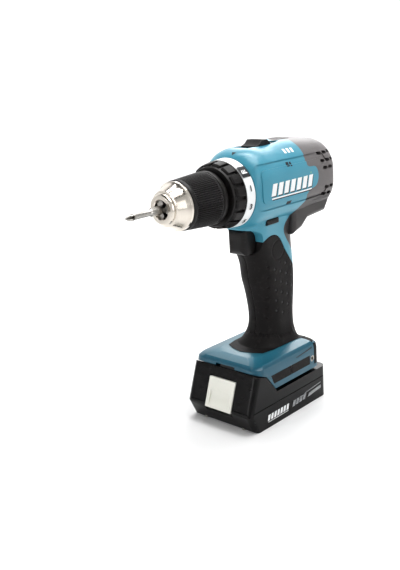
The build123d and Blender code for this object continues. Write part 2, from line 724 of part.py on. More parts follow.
def make_chuck():
    rear = 54.4
    reach = jaw_line_radius(NUT_X + NUT_LONG) + JAW_RADIUS / math.cos(math.radians(JAW_ANGLE))
    waist = reach - 0.2
    core = SLEEVE_BORE - 0.3
    flange = SLEEVE_FRONT + 0.2
    body = turned(
        [
            (rear, SPINDLE_RADIUS - FIT),
            (rear, 12.0),
            (57, 12.0),
            (57, core),
            (NUT_X - 0.5, core),
            (NUT_X - 0.5, waist),
            (NUT_X + NUT_LONG + 0.5, waist),
            (NUT_X + NUT_LONG + 0.5, core),
            (flange, core),
            (flange, 20.0),
            (flange + 2.0, 20.0),
            (flange + 3.2, 18.6),
            (107.2, 14.4),
            (107.6, 12.6),
            (108.6, 12.6),
            (109.0, NOSE_RADIUS + 1.2),
            (110.4, NOSE_RADIUS + 0.8),
            (NOSE_FRONT, NOSE_RADIUS - 0.4),
            (NOSE_FRONT, BORE_RADIUS + 0.8),
            (NOSE_FRONT - 0.9, BORE_RADIUS),
            (64, BORE_RADIUS),
            (64, SPINDLE_RADIUS - FIT),
        ]
    )
    for channel in three(jaw_bar(62, 118, JAW_RADIUS + 0.06)):
        body -= channel
    save("chuck_body", body)
    jaw = jaw_bar(JAW_TIP - 26, JAW_TIP + 3, JAW_RADIUS)
    jaw -= box(0, 200, -20, JAW_GRIP, AXIS - 10, AXIS + 10)
    jaw &= box(0, JAW_TIP, -40, 40, AXIS - 20, AXIS + 20)
    for number, piece in enumerate(three(jaw), 1):
        save(f"jaw_{number}", piece)
    clear = JAW_RADIUS / math.cos(math.radians(JAW_ANGLE)) + 0.25
    cone = [jaw_line_radius(x) + clear for x in (NUT_X, NUT_X + NUT_LONG)]
    nut = turned(
        [(NUT_X, cone[0]), (NUT_X, SLEEVE_BORE), (NUT_X + NUT_LONG, SLEEVE_BORE), (NUT_X + NUT_LONG, cone[1])]
    )
    save("chuck_nut", nut)
    rim = SLEEVE_REAR + 6.1
    sleeve = turned(
        [
            (SLEEVE_REAR, SLEEVE_BORE),
            (SLEEVE_REAR, SLEEVE_RADIUS - 1.2),
            (SLEEVE_REAR + 1.0, SLEEVE_RADIUS),
            (rim - 0.6, SLEEVE_RADIUS),
            (rim - 0.6, SLEEVE_RADIUS - 0.8),
            (rim, SLEEVE_RADIUS - 0.8),
            (rim, SLEEVE_RADIUS),
            (SLEEVE_FRONT - 1.0, SLEEVE_TIP_RADIUS + 0.1),
            (SLEEVE_FRONT, SLEEVE_TIP_RADIUS - 0.6),
            (SLEEVE_FRONT, SLEEVE_BORE),
        ]
    )
    save("chuck_sleeve", sleeve)
    spindle = rod_x(CARRIER_2_FRONT, 64, SPINDLE_RADIUS - FIT) - rod_x(50, 70, 2.5)
    save("spindle", spindle)
    slot = box(65.4, 70, -3, 3, AXIS - 0.6, AXIS + 0.6)
    save("chuck_screw", rod_x(50, 64, 2.5) + rod_x(64, 66.5, 4.4) - slot)
    save("bit", make_bit())


def make_bit():
    """A cross-head screwdriver bit with a hexagonal shank."""
    shank_end = BIT_FRONT - 26
    hexagon = RegularPolygon(BIT_ACROSS / 2, 6, major_radius=False, rotation=30)
    shape = extrude(across(BIT_REAR) * hexagon, shank_end - BIT_REAR)
    neck = turned(
        [
            (shank_end, 0),
            (shank_end, 3.1),
            (shank_end + 2, 2.5),
            (BIT_FRONT - 8, 2.5),
            (BIT_FRONT - 6.5, 3.0),
            (BIT_FRONT - 4.6, 3.0),
            (BIT_FRONT - 0.4, 0.9),
            (BIT_FRONT, 0.0),
        ]
    )
    for angle in (45, 135, 225, 315):
        flute = box(BIT_FRONT - 7, BIT_FRONT + 2, 0.55, 5, AXIS + 0.55, AXIS + 5)
        neck -= about_axis(flute, angle)
    return shape + neck


# ---- controls ----


def make_controls():
    top, bottom = AXIS - 34.4, AXIS - 55.4
    face = [(25.2, top - 1.6), (25.6, top - 9), (26.2, top - 17), (24.6, bottom + 0.8)]
    front = Spline((20, top), *face, (19, bottom))
    outline = make_face([front, Polyline((19, bottom), (8, bottom), (8, top), (20, top))])
    half = TRIGGER_HALF_WIDTH
    trigger = side_plate(outline, -half, half)
    plan = Pos(3.2, 0, bottom - 1) * RectangleRounded(46.4, 2 * half, 5.5)
    trigger &= extrude(plan, top - bottom + 2)
    trigger += rod_x(-7, 8.5, 3.0, 0, -44.0)
    save("trigger", trigger)
    spring = coil(-6.8, 7.9, 4.4, 0.5, 7.0)
    save("trigger_spring", Pos(0, 0, -44.0) * spring)
    switch = box(-28.5, -7.0, -9.5, 9.5, AXIS - 66, AXIS - 38.2)
    switch -= rod_x(-22, -6, 3.2, 0, -44.0)
    save("switch_body", switch)

    bar = box(-5.4, 9.9, -24.0, 24.0, AXIS - 30.5, AXIS - 25.7)
    ends = bar.edges().filter_by(Axis.X).filter_by(lambda e: abs(e.center().Y) > 23.9)
    save("reverse_lever", fillet(ends, 1.2))

    base = AXIS + 33.6
    outline = polygon(
        (-26, base),
        (-26, base + 1.8),
        (-17.5, base + 2.6),
        (-13.5, base + 6.0),
        (-6.5, base + 6.4),
        (-2.5, base + 3.2),
        (2, base + 1.6),
        (2, base),
    )
    lever = side_plate(outline, -LEVER_HALF_WIDTH, LEVER_HALF_WIDTH)
    for number in range(3):
        x = -12.4 + 2.2 * number
        lever -= box(x, x + 0.9, -7, 7, base + 5.4, base + 8)
    save("speed_lever", lever)
    hoop = ring_x(YOKE_X, YOKE_X + 3, RING_OUTER + 0.1, RING_OUTER - 0.85)
    hoop &= box(-20, 20, -30, 30, AXIS, AXIS + 60)
    post = box(YOKE_X, YOKE_X + 3, -2.6, 2.6, AXIS + 19.9, base)
    save("shift_yoke", hoop + post)


def run(points, radius, bend):
    """A wire of round section along straight runs joined by arcs."""
    path = FilletPolyline(*points, radius=bend)
    return sweep(Plane(origin=path @ 0, z_dir=path % 0) * Circle(radius), path=path)


def make_wiring():
    block_top = FOOT_TOP - 8.0
    block = box(-36, -15, -19, 19, DECK_TOP + 1.4, block_top)
    blades = [
        box(-32, -19, y - 0.4, y + 0.4, DECK_TOP - 8, DECK_TOP + 1.4) for y in (-12, 12)
    ]
    save("terminal_block", block + blades)
    wires = []
    for side in (-1, 1):
        lead = [
            (-28.5, side * 5, block_top),
            (-28.5, side * 5, block_top + 20),
            (-30, side * 5, block_top + 55),
            (-27, side * 5, AXIS - 76),
            (-27, side * 5, AXIS - 66),
        ]
        wires.append(run(lead, 1.2, 6))
        motor_lead = [
            (-20, side * 6, AXIS - 38.2),
            (-20, side * 6, AXIS - 20.6),
            (-67.5, side * 6, AXIS - 20.6),
        ]
        wires.append(run(motor_lead, 1.1, 5))
    save("wires", *wires)


# ---- battery ----

LATCH_SLOPE = math.atan2(12.2, 33.4)


def latch_plane():
    """The nose's sloping face: first axis across, second up the slope, third outwards."""
    normal = (math.cos(LATCH_SLOPE), 0, math.sin(LATCH_SLOPE))
    return Plane(origin=(PACK_FRONT, 0, 18.5), x_dir=(0, 1, 0), z_dir=normal)


def sloped_box(side, u0, u1, w0, w1, middle=0.0):
    """A box on the nose's face: half width, then up the slope, then outwards."""
    place = Pos(middle, (u0 + u1) / 2, (w0 + w1) / 2)
    return latch_plane() * place * Box(2 * side, u1 - u0, w1 - w0)


def pack_outline():
    block_top = FOOT_TOP - 9.1
    return polygon(
        (PACK_REAR + 2, 0),
        (PACK_REAR, 3),
        (PACK_REAR, PACK_SHELF),
        (23.6, PACK_SHELF),
        (23.6, FOOT_SKIRT - 2.0),
        (37.2, FOOT_TOP - 13.4),
        (PACK_FRONT - 12.2, block_top),
        (PACK_FRONT, 18.5),
        (PACK_FRONT, 16.5),
        (PACK_FRONT - 7.3, 1.5),
        (PACK_FRONT - 9.8, 0),
    )


def corner_prism(front, height, slant, radius):
    """A leaning block whose rounded front corners follow one sloping stretch of the nose."""
    plan = Pos(front - 150, 0, height) * RectangleRounded(300, 2 * PACK_HALF_WIDTH, radius)
    return extrude(plan, 80, dir=slant) + extrude(plan, 80, dir=tuple(-v for v in slant))


def make_battery():
    half = PACK_HALF_WIDTH
    form = side_plate(pack_outline(), -half, half)
    form &= corner_prism(PACK_FRONT, 18.5, (-12.2, 0, 33.4), 5.0)
    form &= corner_prism(PACK_FRONT, 16.5, (7.3, 0, 15.0), 5.0)
    rear_plan = Pos(PACK_REAR + 100, 0, -1) * RectangleRounded(200, 2 * half, 7.0)
    form &= extrude(rear_plan, 100)
    hollow = box(PACK_REAR + PACK_WALL, 48.0, -half + PACK_WALL, half - PACK_WALL, PACK_WALL, PACK_SHELF - 2)
    cheeks = [
        box(27, 46.5, side * 17.5, side * (half - 2.4), PACK_SHELF - 3, PACK_SHELF + 6) for side in (-1, 1)
    ]
    deck = box(-41, 26, -DECK_WAIST, DECK_WAIST, PACK_SHELF - 1, DECK_LIP)
    deck += box(-41, 26, -DECK_HALF_WIDTH, DECK_HALF_WIDTH, DECK_LIP, DECK_TOP)
    shell = form + deck - hollow - cheeks
    shell -= box(-38.5, 22, -23.5, 23.5, PACK_SHELF - 4, DECK_TOP - 2)
    shell -= box(-37.3, -14.7, -18.3, 18.3, DECK_TOP - 6, DECK_TOP + 1)  # window for the contact block
    for y in (-12, 12):
        shell -= box(-45, -30, y - 1.2, y + 1.2, DECK_TOP - 8.6, DECK_TOP + 1)
    for number in range(6):
        x = -8 + 5.0 * number
        shell -= box(x, x + 2.4, -14, 14, DECK_TOP - 0.8, DECK_TOP + 1)
    shell -= sloped_box(LATCH_HALF_WIDTH + 0.5, -LATCH_TRAVEL - 2.6, LATCH_LENGTH - 1.4, -4.0, 9.0)
    shell -= sloped_box(9.6, -4.0, 46.0, -8.2, -3.0)
    screws = [(52.0, -22.0), (52.0, 22.0), (PACK_REAR + 3.9, -26.0), (PACK_REAR + 3.9, 26.0)]
    bosses = [box(PACK_REAR + 1, PACK_REAR + 5.6, y - 2.2, y + 2.2, 1, PACK_SHELF - 1) for y in (-26, 26)]
    shell += bosses
    for x, y in screws:
        shell -= rod_z(-1, 2.4, 2.3, x, y) + rod_z(2, 24, 1.2, x, y)
    groove = box(-70, 70, -half, half, PACK_SEAM - 0.35, PACK_SEAM + 0.35) - box(
        PACK_REAR + 0.5, PACK_FRONT - 1.0, -half + 0.5, half - 0.5, 0, 60
    )
    shell -= groove
    lower = shell & box(-70, 80, -60, 60, -1, PACK_SEAM)
    upper = shell & box(-70, 80, -60, 60, PACK_SEAM, 80)
    save("battery_case_lower", lower)
    save("battery_case_upper", upper)
    save("battery_screws", *[rod_z(2.4, 24, 1.2, x, y) + rod_z(0.6, 2.4, 2.2, x, y) for x, y in screws])
    pitch = 2 * CELL_RADIUS + 0.8
    cells = []
    for number in range(CELL_COUNT):
        x = pitch * (number - (CELL_COUNT - 1) / 2) + 0.4
        cells.append(rod_y(-CELL_LENGTH / 2, CELL_LENGTH / 2, CELL_RADIUS, x, PACK_WALL + 0.4 + CELL_RADIUS))
    save("cells", *cells)
    board = PACK_WALL + 0.4 + 2 * CELL_RADIUS + 0.9
    save("protection_board", box(-38, 36, -22, 22, board, board + 1.4))
    block = box(-37, -15, -18, 18, DECK_TOP - 8.8, DECK_TOP - 0.2)
    for y in (-12, 12):
        block -= box(-40, -17, y - 1.2, y + 1.2, DECK_TOP - 8.6, DECK_TOP + 1)
    save("battery_terminals", block)

    plate = sloped_box(LATCH_HALF_WIDTH, -2.0, LATCH_LENGTH - 2.0, -3.6, 0.9)
    plate = fillet(plate.edges().filter_by(lambda e: e.length > 20 or abs(e.center().Y) > 14), 0.8)
    plate -= latch_plane() * Pos(0, 7.5, 18.4) * Rot(0, 90, 0) * Cylinder(19.0, 22.0)
    stem = sloped_box(9.0, 6.0, 38.2, -7.6, -3.4)
    save("battery_latch", plate + stem)
    springs = []
    for y in (-5.5, 5.5):
        wire = coil(0, 9.2, 1.7, 0.35, 5.0)
        upright = Rot(0, -90, 0) * Pos(0, 0, -AXIS) * wire
        springs.append(latch_plane() * Pos(y, -3.6, -5.9) * Rot(-90, 0, 0) * upright)
    save("latch_spring", *springs)


def make_shells():
    shell, cover, skin, strips = make_housing()
    save("housing_left", left_half(shell))
    save("housing_right", right_half(shell))
    save("rear_cover", cover)
    save("grip_skin_left", left_half(skin))
    save("grip_skin_right", right_half(skin))
    save("foot_strips", *strips)
    case_screws = [screw_y(x, z, screw_depth(z)) for x, z in case_screw_places()]
    cover_screws = []
    for y, z in cover_screw_places():
        head = rod_x(-80.2, -78, SCREW_HEAD, y, z)
        cover_screws.append(head + rod_x(-78, SEAM + 8, SCREW_RADIUS, y, z))
    save("case_screws", *case_screws, *cover_screws)
    nuts = []
    for side in (-1, 1):
        outer = PACK_HALF_WIDTH - 0.3
        y0, y1 = sorted((side * (outer - HOOK_DEPTH), side * outer))
        nuts.append(rod_y(y0, y1, 3.0, HOOK_X, HOOK_Z) - rod_y(y0 - 1, y1 + 1, HOOK_RADIUS, HOOK_X, HOOK_Z))
    save("hook_nuts", *nuts)


make_gears()
make_gearbox()
make_clutch()
make_motor()
make_chuck()
make_controls()
make_wiring()
make_battery()
make_shells()
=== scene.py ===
"""The looks of the cordless drill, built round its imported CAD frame. Everything is in metres."""

import json
import math

import bmesh
import bpy
import numpy as np
from mathutils import Matrix, Vector
from mathutils.bvhtree import BVHTree


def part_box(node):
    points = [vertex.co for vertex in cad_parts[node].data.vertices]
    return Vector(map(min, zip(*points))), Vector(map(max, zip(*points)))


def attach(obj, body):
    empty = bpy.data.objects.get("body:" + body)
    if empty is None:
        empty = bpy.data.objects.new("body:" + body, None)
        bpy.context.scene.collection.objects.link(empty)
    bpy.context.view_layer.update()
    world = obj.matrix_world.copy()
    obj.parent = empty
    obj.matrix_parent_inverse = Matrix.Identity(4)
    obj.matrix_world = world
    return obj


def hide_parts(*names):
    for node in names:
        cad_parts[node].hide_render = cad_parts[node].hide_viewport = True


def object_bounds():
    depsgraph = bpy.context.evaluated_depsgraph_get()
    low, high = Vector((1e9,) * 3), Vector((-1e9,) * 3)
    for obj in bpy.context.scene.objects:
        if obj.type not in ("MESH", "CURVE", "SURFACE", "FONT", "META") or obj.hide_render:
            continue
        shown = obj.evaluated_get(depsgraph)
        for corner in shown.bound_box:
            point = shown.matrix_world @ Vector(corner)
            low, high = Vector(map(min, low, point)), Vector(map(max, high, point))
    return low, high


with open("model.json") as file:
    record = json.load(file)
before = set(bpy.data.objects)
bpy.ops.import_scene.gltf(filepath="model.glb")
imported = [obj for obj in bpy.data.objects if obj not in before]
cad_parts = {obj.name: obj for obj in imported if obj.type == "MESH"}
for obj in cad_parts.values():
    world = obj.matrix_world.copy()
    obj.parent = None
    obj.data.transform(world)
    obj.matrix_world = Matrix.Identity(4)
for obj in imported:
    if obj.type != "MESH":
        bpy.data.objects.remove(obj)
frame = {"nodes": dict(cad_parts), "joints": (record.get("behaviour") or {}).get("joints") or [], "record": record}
cad_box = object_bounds()

NODES = frame["nodes"]
MM = 0.001


def joint_named(name):
    return next(j for j in frame["joints"] if j["name"] == name)


AXIS = joint_named("chuck_spin")["pos_m"][2]  # height of the spindle axis


# ---- materials: node expressions ----


class Value:
    """A shader socket that arithmetic works on: each operation adds one Math node."""

    def __init__(self, recipe, socket):
        self.recipe, self.socket = recipe, socket

    def calc(self, operation, *others, flipped=False):
        inputs = [self, *others]
        if flipped:
            inputs.reverse()
        sockets = dict(enumerate(inputs))
        return self.recipe.add("ShaderNodeMath", {"operation": operation}, sockets)

    def __add__(self, other):
        return self.calc("ADD", other)

    __radd__ = __add__

    def __mul__(self, other):
        return self.calc("MULTIPLY", other)

    __rmul__ = __mul__

    def __sub__(self, other):
        return self.calc("SUBTRACT", other)

    def __rsub__(self, other):
        return self.calc("SUBTRACT", other, flipped=True)

    def __truediv__(self, other):
        return self.calc("DIVIDE", other)

    def __gt__(self, other):
        return self.calc("GREATER_THAN", other)

    def __lt__(self, other):
        return self.calc("LESS_THAN", other)

    def power(self, other):
        return self.calc("POWER", other)

    def size(self):
        return self.calc("ABSOLUTE")

    def sine(self):
        return self.calc("SINE")


class Recipe:
    """One material under construction, with its Object coordinates ready to read."""

    def __init__(self, name):
        self.material = bpy.data.materials.new(name)
        self.material.use_nodes = True
        self.tree = self.material.node_tree
        self.tree.nodes.clear()
        place = self.tree.nodes.new("ShaderNodeTexCoord")
        self.place = Value(self, place.outputs["Object"])
        split = self.add("ShaderNodeSeparateXYZ", {}, {0: self.place}, output=None)
        self.x, self.y, self.z = (Value(self, s) for s in split.outputs)

    def add(self, kind, settings, sockets, output=0):
        """A node of the given kind: its settings first, then its sockets' values or links."""
        node = self.tree.nodes.new(kind)
        for key, value in settings.items():
            if key == "stops":
                ramp = node.color_ramp
                while len(ramp.elements) < len(value):
                    ramp.elements.new(0.5)
                for element, (position, colour) in zip(ramp.elements, value):
                    element.position, element.color = position, colour
            else:
                setattr(node, key, value)
        for key, value in sockets.items():
            if isinstance(value, Value):
                self.tree.links.new(value.socket, node.inputs[key])
            else:
                node.inputs[key].default_value = value
        return node if output is None else Value(self, node.outputs[output])

    def noise(self, scale, detail=3.0, roughness=0.55, at=None):
        sockets = {"Vector": at or self.place, "Scale": scale, "Detail": detail, "Roughness": roughness}
        return self.add("ShaderNodeTexNoise", {}, sockets)

    def cells(self, scale):
        """Distance from the nearest of scattered points."""
        return self.add("ShaderNodeTexVoronoi", {}, {"Vector": self.place, "Scale": scale})

    def stretched(self, x, y, z):
        """Object coordinates scaled unevenly, for brushed and turned surfaces."""
        return self.add("ShaderNodeMapping", {}, {"Vector": self.place, "Scale": (x, y, z)})

    def ramp(self, factor, low, high):
        """0 below low and 1 above high, straight in between."""
        return self.add("ShaderNodeMapRange", {}, {"Value": factor, "From Min": low, "From Max": high})

    def blend(self, factor, first, second):
        """From the first colour to the second."""
        settings = {"data_type": "RGBA"}
        return self.add("ShaderNodeMix", settings, {0: factor, 6: first, 7: second}, output=2)

    def bump(self, height, distance, strength=1.0, under=None):
        sockets = {"Height": height, "Distance": distance, "Strength": strength}
        if under:
            sockets["Normal"] = under
        return self.add("ShaderNodeBump", {}, sockets)

    def finish(self, **sockets):
        """The Principled surface, with names such as base_color for its sockets."""
        named = {key.replace("_", " ").title().replace("Ior", "IOR"): v for key, v in sockets.items()}
        shader = self.add("ShaderNodeBsdfPrincipled", {}, named)
        self.add("ShaderNodeOutputMaterial", {}, {"Surface": shader}, output=None)
        return self.material


def rgb(red, green, blue):
    """A colour given as a screen shows it, 0 to 255, in the linear values that shaders take."""
    linear = [((v / 255 + 0.055) / 1.055) ** 2.4 if v > 10 else v / 255 / 12.92 for v in (red, green, blue)]
    return (*linear, 1.0)


def moulded(name, colour, shade, roughness, grain_scale, grain_depth, coat=0.0, zone=None, shine=0.5):
    """Moulded plastic: slow colour drift, a fine spark-eroded grain, and faint handling scuffs.

    A zone is a function giving a mask over the surface and the colour it takes there; on the foot and on the
    cover's lower wing that colour is painted shade.
    """
    r = Recipe(name)
    drift = r.noise(28.0, 2.0)
    scuffs = r.ramp(r.noise(160.0, 4.0, 0.7, r.stretched(1.0, 1.0, 3.0)), 0.60, 0.78)
    grain = r.noise(grain_scale, 2.0)
    pits = r.cells(grain_scale * 0.55)
    base = r.blend(drift, colour, shade)
    if zone:
        mask, tone = zone(r)
        base = r.blend(mask, base, tone)
    base = r.blend(scuffs * 0.05, base, rgb(205, 205, 205))
    rough = roughness + 0.10 * drift + 0.10 * scuffs - 0.05
    normal = r.bump(grain * 0.7 + pits * 0.3, grain_depth, 0.5)
    return r.finish(
        base_color=base,
        roughness=rough,
        normal=normal,
        coat_weight=coat,
        coat_roughness=0.25,
        specular_ior_level=shine,
    )


def rubber(name, colour, shade):
    """Soft over-moulded skin: matt, faintly mottled, with a close leathery grain and dusty high spots."""
    r = Recipe(name)
    drift = r.noise(45.0, 3.0)
    grain = r.cells(1500.0)
    fine = r.noise(3800.0, 2.0)
    dust = r.ramp(r.noise(210.0, 4.0, 0.65), 0.56, 0.80)
    base = r.blend(drift, colour, shade)
    base = r.blend(dust * 0.10, base, rgb(120, 116, 112))
    normal = r.bump(grain * 0.6 + fine * 0.4, 0.00012, 0.6)
    rough = 0.50 + 0.12 * drift + 0.08 * dust
    return r.finish(base_color=base, roughness=rough, normal=normal, specular_ior_level=0.18)


def turned_metal(name, colour, shade, roughness, ring_scale, depth):
    """Metal turned or ground about the spindle: fine rings along X, and a few handling marks."""
    r = Recipe(name)
    rings = r.noise(ring_scale, 2.0, 0.6, r.stretched(1.0, 0.02, 0.02))
    marks = r.ramp(r.noise(420.0, 5.0, 0.7), 0.62, 0.74)
    base = r.blend(rings, colour, shade)
    base = r.blend(marks * 0.25, base, rgb(96, 88, 80))
    normal = r.bump(rings, depth, 0.35)
    rough = roughness + 0.08 * rings + 0.16 * marks
    return r.finish(base_color=base, metallic=1.0, roughness=rough, normal=normal)


def gear_metal():
    """Sintered gear steel: dark, pitted, with a patchy film of grease."""
    r = Recipe("sintered gear steel")
    pores = r.ramp(r.cells(2600.0), 0.02, 0.22)
    grease = r.ramp(r.noise(120.0, 3.0), 0.42, 0.62)
    base = r.blend(grease, rgb(150, 146, 140), rgb(118, 104, 72))
    normal = r.bump(pores, 0.00004, 0.6)
    rough = 0.42 - 0.20 * grease
    return r.finish(base_color=base, metallic=1.0 - 0.35 * grease, roughness=rough, normal=normal)


def laminations():
    """Armature: stacked steel sheets along X, with copper windings where it narrows."""
    r = Recipe("armature laminations and windings")
    sheet = (r.x * 6283.0 * 2.0).sine()
    inner = r.add("ShaderNodeVectorMath", {"operation": "LENGTH"}, {0: r.add(
        "ShaderNodeCombineXYZ", {}, {1: r.y, 2: r.z - AXIS}
    )}, output=1)
    copper = r.ramp(inner, 0.0099, 0.0096)
    strands = (inner * 9000.0).sine()
    base = r.blend(copper, rgb(128, 126, 124), rgb(186, 96, 48))
    normal = r.bump(sheet * (1 - copper) + strands * copper, 0.00006, 0.6)
    return r.finish(base_color=base, metallic=0.9, roughness=0.38 + 0.08 * sheet, normal=normal)


def printed_board():
    """Circuit board: green mask with pale pads on a grid and darker tracks."""
    r = Recipe("circuit board")
    across = ((r.x * 1570.0).sine() * (r.y * 1570.0).sine()).size()
    pads = r.ramp(across, 0.90, 0.93)
    tracks = r.ramp(r.noise(300.0, 1.0, 0.5, r.stretched(1.0, 0.15, 1.0)), 0.5, 0.52)
    base = r.blend(tracks, rgb(24, 92, 52), rgb(18, 70, 42))
    base = r.blend(pads, base, rgb(205, 196, 160))
    return r.finish(base_color=base, roughness=0.35 + 0.1 * tracks, metallic=pads * 0.8)


def cell_wrap():
    """Shrink-wrapped cells: a tinted sleeve with faint shrink creases, and bright steel ends."""
    r = Recipe("cell wrap")
    ends = r.ramp(r.y.size(), 0.0318, 0.0320)
    creases = r.noise(240.0, 3.0, 0.6, r.stretched(1.0, 0.2, 1.0))
    base = r.blend(ends, rgb(48, 120, 96), rgb(190, 190, 188))
    normal = r.bump(creases, 0.00015, 0.5)
    return r.finish(base_color=base, metallic=ends, roughness=0.28 + 0.12 * creases, normal=normal)


FOOT_TOP = AXIS - 0.1445


def painted_shade_foot(r):
    """The foot below its top, painted a deeper teal: painted shade, since less light falls there than on the head.
    """
    return r.ramp(r.z, FOOT_TOP + 0.004, FOOT_TOP - 0.004), rgb(10, 80, 100)


def painted_shade_wing(r):
    """The cover's lower wing, painted darker: painted shade below its lit top."""
    return r.ramp(r.z, AXIS - 0.013, AXIS - 0.0145), rgb(62, 59, 59)


def catch(r):
    """The button's dark catch, above its pressing face."""
    return r.ramp(r.z, 0.0456, 0.0458), rgb(26, 25, 26)


MATERIALS = {
    # teal housing: painted shade darkens its foot
    "teal_shell": moulded(
        "teal housing plastic", rgb(74, 148, 168), rgb(62, 136, 158), 0.34, 2600.0, 0.00006, 0.2, painted_shade_foot
    ),
    # grey cover: painted shade darkens its lower wing
    "grey_cover": moulded(
        "grey cover plastic", rgb(112, 108, 108), rgb(98, 95, 95), 0.42, 2200.0, 0.00010, 0.0, painted_shade_wing
    ),
    "black_rubber": rubber("black grip skin", rgb(32, 29, 29), rgb(23, 21, 21)),
    "black_plastic": moulded(
        "black control plastic", rgb(36, 34, 34), rgb(28, 27, 27), 0.38, 2400.0, 0.00008, shine=0.25
    ),
    "white_band": moulded(
        "white scale plastic", rgb(240, 242, 242), rgb(232, 235, 236), 0.38, 2400.0, 0.00004
    ),
    "pack_black": moulded(
        "black pack plastic", rgb(14, 13, 14), rgb(10, 9, 10), 0.20, 2800.0, 0.00002, shine=0.25
    ),
    "latch_white": moulded(
        "button plastic", rgb(232, 232, 224), rgb(222, 222, 212), 0.36, 2400.0, 0.00005, 0.0, catch
    ),
    "contact_yellow": moulded(
        "contact block plastic", rgb(232, 186, 30), rgb(222, 172, 22), 0.40, 2200.0, 0.00006
    ),
    "chrome": turned_metal(
        "bright chuck steel", rgb(228, 222, 212), rgb(214, 206, 196), 0.12, 5200.0, 0.00002
    ),
    "tool_steel": turned_metal(
        "ground tool steel", rgb(178, 176, 172), rgb(158, 155, 150), 0.24, 3600.0, 0.00003
    ),
    "gear_steel": gear_metal(),
    "gear_case": moulded(
        "glass-filled plastic", rgb(62, 62, 64), rgb(50, 50, 52), 0.55, 1500.0, 0.00014
    ),
    "motor_steel": turned_metal(
        "zinc-plated motor steel", rgb(190, 192, 192), rgb(168, 170, 172), 0.30, 900.0, 0.00003
    ),
    "magnet": moulded("ferrite magnet", rgb(58, 58, 62), rgb(46, 46, 50), 0.60, 1800.0, 0.00012),
    "winding": laminations(),
    "copper": turned_metal(
        "commutator copper", rgb(206, 138, 92), rgb(184, 116, 74), 0.25, 4200.0, 0.00004
    ),
    "carbon": moulded("carbon brush", rgb(48, 48, 50), rgb(36, 36, 38), 0.60, 2600.0, 0.00010),
    "switch_plastic": moulded(
        "switch plastic", rgb(54, 54, 58), rgb(44, 44, 48), 0.50, 2000.0, 0.00008
    ),
    "wire": moulded("wire insulation", rgb(150, 30, 26), rgb(128, 24, 20), 0.40, 1800.0, 0.00005),
    "cell_wrap": cell_wrap(),
    "board": printed_board(),
}

SLOT_OF = {s["node"]: s["material_slot"] for s in frame["record"]["subparts"]}
for node, piece in NODES.items():
    piece.data.materials.clear()
    piece.data.materials.append(MATERIALS[SLOT_OF[node]])

# ---- mesh helpers ----


def new_piece(name, points, faces, material, body, *nodes, smooth=True):
    """A mesh from arrays of points and faces that rides on a body and may stand for CAD nodes."""
    mesh = bpy.data.meshes.new(name)
    mesh.from_pydata([tuple(p) for p in points], [], [tuple(f) for f in faces])
    return adopt(name, mesh, material, body, *nodes, smooth=smooth)


def adopt(name, mesh, material, body, *nodes, smooth=True):
    """Puts a mesh into the scene as a piece of the given body."""
    mesh.materials.clear()
    mesh.materials.append(MATERIALS.get(material) or bpy.data.materials[material])
    mesh.polygons.foreach_set("use_smooth", np.full(len(mesh.polygons), smooth))
    piece = bpy.data.objects.new(name, mesh)
    bpy.context.scene.collection.objects.link(piece)
    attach(piece, body)
    if nodes:
        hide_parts(*nodes)
    return piece


def coordinates(mesh):
    """A mesh's points as an array, one row each."""
    flat = np.empty(len(mesh.vertices) * 3)
    mesh.vertices.foreach_get("co", flat)
    return flat.reshape(-1, 3)


def merged_copy(node):
    """A copy of a CAD node's mesh with its loose triangles joined and its degenerate slivers dissolved."""
    mesh = NODES[node].data.copy()
    shape = bmesh.new()
    shape.from_mesh(mesh)
    bmesh.ops.remove_doubles(shape, verts=shape.verts, dist=0.000004)
    bmesh.ops.dissolve_degenerate(shape, dist=0.000004, edges=shape.edges)
    shape.to_mesh(mesh)
    shape.free()
    return mesh


def body_of_node(node):
    return next(b for b, members in frame["record"]["behaviour"]["bodies"].items() if node in members)


PRINT_ROOM = 0.00014  # how far the battery's sides are drawn in, so that print on them stays in the CAD box


def softened(node, edge=0.0005, material=None, corner=32.0):
    """A CAD node with its sharp edges rounded off, so that they catch the light as moulded edges do."""
    mesh = merged_copy(node)
    for layer in ("custom_normal",):
        if layer in mesh.attributes:
            mesh.attributes.remove(mesh.attributes[layer])
    if node.startswith("battery_case"):
        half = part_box("battery_case_lower")[1][1]
        for vertex in mesh.vertices:
            vertex.co.y *= 1 - PRINT_ROOM / half
    piece = adopt(f"{node}_moulded", mesh, material or SLOT_OF[node], body_of_node(node), node)
    bevel = piece.modifiers.new("rounded edges", "BEVEL")
    bevel.width = edge
    bevel.segments = 2
    bevel.limit_method = "ANGLE"
    bevel.angle_limit = math.radians(corner)
    bevel.harden_normals = True
    bevel.use_clamp_overlap = True
    weighted = piece.modifiers.new("even shading", "WEIGHTED_NORMAL")
    weighted.keep_sharp = True
    return piece


def turned_grid(xs, radii, turns):
    """Points of a surface turned about the spindle: a row for each x, a column for each angle."""
    angle = np.linspace(0, 2 * np.pi, turns, endpoint=False)
    across, along = np.meshgrid(angle, np.asarray(xs))
    radius = np.broadcast_to(radii, along.shape)
    points = np.stack([along, radius * np.cos(across), AXIS + radius * np.sin(across)], axis=-1)
    return points.reshape(-1, 3)


def turned_faces(rows, turns, closed=False):
    """Quads between neighbouring rows of a turned grid; closed joins the last row to the first."""
    row, column = np.meshgrid(np.arange(rows if closed else rows - 1), np.arange(turns), indexing="ij")
    after, beside = (row + 1) % rows, (column + 1) % turns
    quads = [row * turns + column, row * turns + beside, after * turns + beside, after * turns + column]
    return np.stack(quads, axis=-1).reshape(-1, 4)[:, ::-1]


# ---- pieces that keep their CAD shape, with moulded edges ----

for name, edge in (
    ("housing_left", 0.0005),
    ("housing_right", 0.0005),
    ("rear_cover", 0.0008),
    ("torque_ring", 0.0005),
    ("trigger", 0.0006),
    ("speed_lever", 0.0005),
    ("battery_case_upper", 0.0006),
    ("battery_case_lower", 0.0006),
    ("foot_strips", 0.0003),
):
    softened(name, edge)


# ---- chuck sleeve: close lengthwise ribs between a notched rim and a plain tip ----

